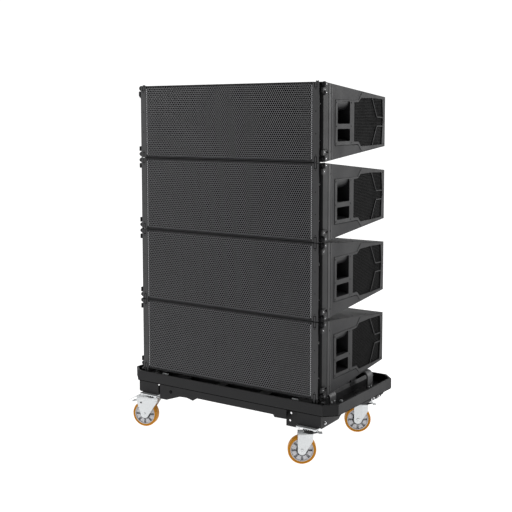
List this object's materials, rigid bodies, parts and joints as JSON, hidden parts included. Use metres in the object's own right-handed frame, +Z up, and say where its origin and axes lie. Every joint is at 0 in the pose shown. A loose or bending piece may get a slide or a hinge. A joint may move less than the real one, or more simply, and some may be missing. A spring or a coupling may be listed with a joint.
{
  "type": "line array speaker",
  "caption": "Stack of wedge-shaped line array loudspeaker cabinets with perforated grilles and side handles, hinged by front links, on a wheeled transport cart with braked swivel casters.",
  "frame": {"origin": "on the floor under the middle of the whole stack", "axes": "+Z up, +X to the right seen from the grilles, -Y the way the grilles face"},
  "size_m": [1.144, 0.6513, 1.6545],
  "materials": {
    "cabinet_paint": "fine textured black polyurea paint over plywood",
    "grille_steel": "black powder coat on perforated steel",
    "insert_paint": "black powder coat, satin",
    "cone_paper": "coated paper cone, cast basket and magnet",
    "horn_plastic": "moulded waveguide",
    "panel_metal": "black anodised plate",
    "link_steel": "black plated steel with bright pin heads",
    "cart_paint": "black powder coat on folded aluminium sheet",
    "zinc": "bright zinc plate on pressed steel",
    "tyre_orange": "cast orange polyurethane tread on an aluminium hub"
  },
  "bodies": {
    "cart_base": {"cart_tray": "cart_paint", "caster_front_left_top_plate": "zinc", "caster_front_right_top_plate": "zinc", "caster_rear_left_top_plate": "zinc", "caster_rear_right_top_plate": "zinc", "cabinet_4_enclosure": "cabinet_paint", "cabinet_4_front_grille": "grille_steel", "cabinet_4_side_panel_left": "insert_paint", "cabinet_4_side_panel_right": "insert_paint", "cabinet_4_woofer_left": "cone_paper", "cabinet_4_woofer_right": "cone_paper", "cabinet_4_horn": "horn_plastic", "cabinet_4_connector_panel": "panel_metal", "front_link_4_left": "link_steel", "front_link_4_right": "link_steel", "front_link_3_left": "link_steel", "front_link_3_right": "link_steel"},
    "cabinet_3": {"cabinet_3_enclosure": "cabinet_paint", "cabinet_3_front_grille": "grille_steel", "cabinet_3_side_panel_left": "insert_paint", "cabinet_3_side_panel_right": "insert_paint", "cabinet_3_woofer_left": "cone_paper", "cabinet_3_woofer_right": "cone_paper", "cabinet_3_horn": "horn_plastic", "cabinet_3_connector_panel": "panel_metal", "front_link_2_left": "link_steel", "front_link_2_right": "link_steel"},
    "cabinet_2": {"cabinet_2_enclosure": "cabinet_paint", "cabinet_2_front_grille": "grille_steel", "cabinet_2_side_panel_left": "insert_paint", "cabinet_2_side_panel_right": "insert_paint", "cabinet_2_woofer_left": "cone_paper", "cabinet_2_woofer_right": "cone_paper", "cabinet_2_horn": "horn_plastic", "cabinet_2_connector_panel": "panel_metal", "front_link_1_left": "link_steel", "front_link_1_right": "link_steel"},
    "cabinet_1": {"cabinet_1_enclosure": "cabinet_paint", "cabinet_1_front_grille": "grille_steel", "cabinet_1_side_panel_left": "insert_paint", "cabinet_1_side_panel_right": "insert_paint", "cabinet_1_woofer_left": "cone_paper", "cabinet_1_woofer_right": "cone_paper", "cabinet_1_horn": "horn_plastic", "cabinet_1_connector_panel": "panel_metal"},
    "rear_link_1": {"rear_link_1": "link_steel"},
    "rear_link_2": {"rear_link_2": "link_steel"},
    "rear_link_3": {"rear_link_3": "link_steel"},
    "caster_front_left_swivel": {"caster_front_left_fork": "zinc"},
    "caster_front_left_wheel": {"caster_front_left_wheel": "tyre_orange"},
    "caster_front_left_pedal": {"caster_front_left_brake_pedal": "zinc"},
    "caster_front_right_swivel": {"caster_front_right_fork": "zinc"},
    "caster_front_right_wheel": {"caster_front_right_wheel": "tyre_orange"},
    "caster_front_right_pedal": {"caster_front_right_brake_pedal": "zinc"},
    "caster_rear_left_swivel": {"caster_rear_left_fork": "zinc"},
    "caster_rear_left_wheel": {"caster_rear_left_wheel": "tyre_orange"},
    "caster_rear_left_pedal": {"caster_rear_left_brake_pedal": "zinc"},
    "caster_rear_right_swivel": {"caster_rear_right_fork": "zinc"},
    "caster_rear_right_wheel": {"caster_rear_right_wheel": "tyre_orange"},
    "caster_rear_right_pedal": {"caster_rear_right_brake_pedal": "zinc"}
  },
  "joints": [
    {"name": "cabinet_3_splay", "type": "hinge", "parent": "cart_base", "child": "cabinet_3", "pos_m": [0, -0.2511, 0.6485], "axis": [-1, 0, 0], "range_deg": [0, 10]},
    {"name": "rear_link_3_slide", "type": "slide", "parent": "cabinet_3", "child": "rear_link_3", "axis": [0, 0, 1], "range_m": [0, 0.1]},
    {"name": "cabinet_2_splay", "type": "hinge", "parent": "cabinet_3", "child": "cabinet_2", "pos_m": [0, -0.2511, 0.99], "axis": [-1, 0, 0], "range_deg": [0, 10]},
    {"name": "rear_link_2_slide", "type": "slide", "parent": "cabinet_2", "child": "rear_link_2", "axis": [0, 0, 1], "range_m": [0, 0.1]},
    {"name": "cabinet_1_splay", "type": "hinge", "parent": "cabinet_2", "child": "cabinet_1", "pos_m": [0, -0.2511, 1.3315], "axis": [-1, 0, 0], "range_deg": [0, 10]},
    {"name": "rear_link_1_slide", "type": "slide", "parent": "cabinet_1", "child": "rear_link_1", "axis": [0, 0, 1], "range_m": [0, 0.1]},
    {"name": "caster_front_left_swivel", "type": "hinge", "parent": "cart_base", "child": "caster_front_left_swivel", "pos_m": [-0.448, -0.2551, 0.155], "axis": [0, 0, 1], "continuous": true},
    {"name": "caster_front_left_roll", "type": "hinge", "parent": "caster_front_left_swivel", "child": "caster_front_left_wheel", "pos_m": [-0.48414, -0.26684, 0.0625], "axis": [0.309, -0.9511, 0], "continuous": true},
    {"name": "caster_front_left_brake", "type": "hinge", "parent": "caster_front_left_swivel", "child": "caster_front_left_pedal", "pos_m": [-0.49555, -0.27055, 0.133], "axis": [0.309, -0.9511, 0], "range_deg": [0, 12]},
    {"name": "caster_front_right_swivel", "type": "hinge", "parent": "cart_base", "child": "caster_front_right_swivel", "pos_m": [0.448, -0.2551, 0.155], "axis": [0, 0, 1], "continuous": true},
    {"name": "caster_front_right_roll", "type": "hinge", "parent": "caster_front_right_swivel", "child": "caster_front_right_wheel", "pos_m": [0.4165, -0.27635, 0.0625], "axis": [0.5592, -0.829, 0], "continuous": true},
    {"name": "caster_front_right_brake", "type": "hinge", "parent": "caster_front_right_swivel", "child": "caster_front_right_pedal", "pos_m": [0.45049, -0.25342, 0.133], "axis": [-0.5592, 0.829, 0], "range_deg": [0, 12]},
    {"name": "caster_rear_left_swivel", "type": "hinge", "parent": "cart_base", "child": "caster_rear_left_swivel", "pos_m": [-0.448, 0.2569, 0.155], "axis": [0, 0, 1], "continuous": true},
    {"name": "caster_rear_left_roll", "type": "hinge", "parent": "caster_rear_left_swivel", "child": "caster_rear_left_wheel", "pos_m": [-0.41229, 0.2699, 0.0625], "axis": [-0.342, 0.9397, 0], "continuous": true},
    {"name": "caster_rear_left_brake", "type": "hinge", "parent": "caster_rear_left_swivel", "child": "caster_rear_left_pedal", "pos_m": [-0.40102, 0.274, 0.133], "axis": [-0.342, 0.9397, 0], "range_deg": [0, 12]},
    {"name": "caster_rear_right_swivel", "type": "hinge", "parent": "cart_base", "child": "caster_rear_right_swivel", "pos_m": [0.448, 0.2569, 0.155], "axis": [0, 0, 1], "continuous": true},
    {"name": "caster_rear_right_roll", "type": "hinge", "parent": "caster_rear_right_swivel", "child": "caster_rear_right_wheel", "pos_m": [0.4165, 0.23565, 0.0625], "axis": [0.5592, -0.829, 0], "continuous": true},
    {"name": "caster_rear_right_brake", "type": "hinge", "parent": "caster_rear_right_swivel", "child": "caster_rear_right_pedal", "pos_m": [0.45049, 0.25858, 0.133], "axis": [-0.5592, 0.829, 0], "range_deg": [0, 12]}
  ],
  "couplings": [
    {"joint": "rear_link_3_slide", "follows": "cabinet_3_splay", "m_per_rad": 0.55},
    {"joint": "rear_link_2_slide", "follows": "cabinet_2_splay", "m_per_rad": 0.55},
    {"joint": "rear_link_1_slide", "follows": "cabinet_1_splay", "m_per_rad": 0.55}
  ]
}
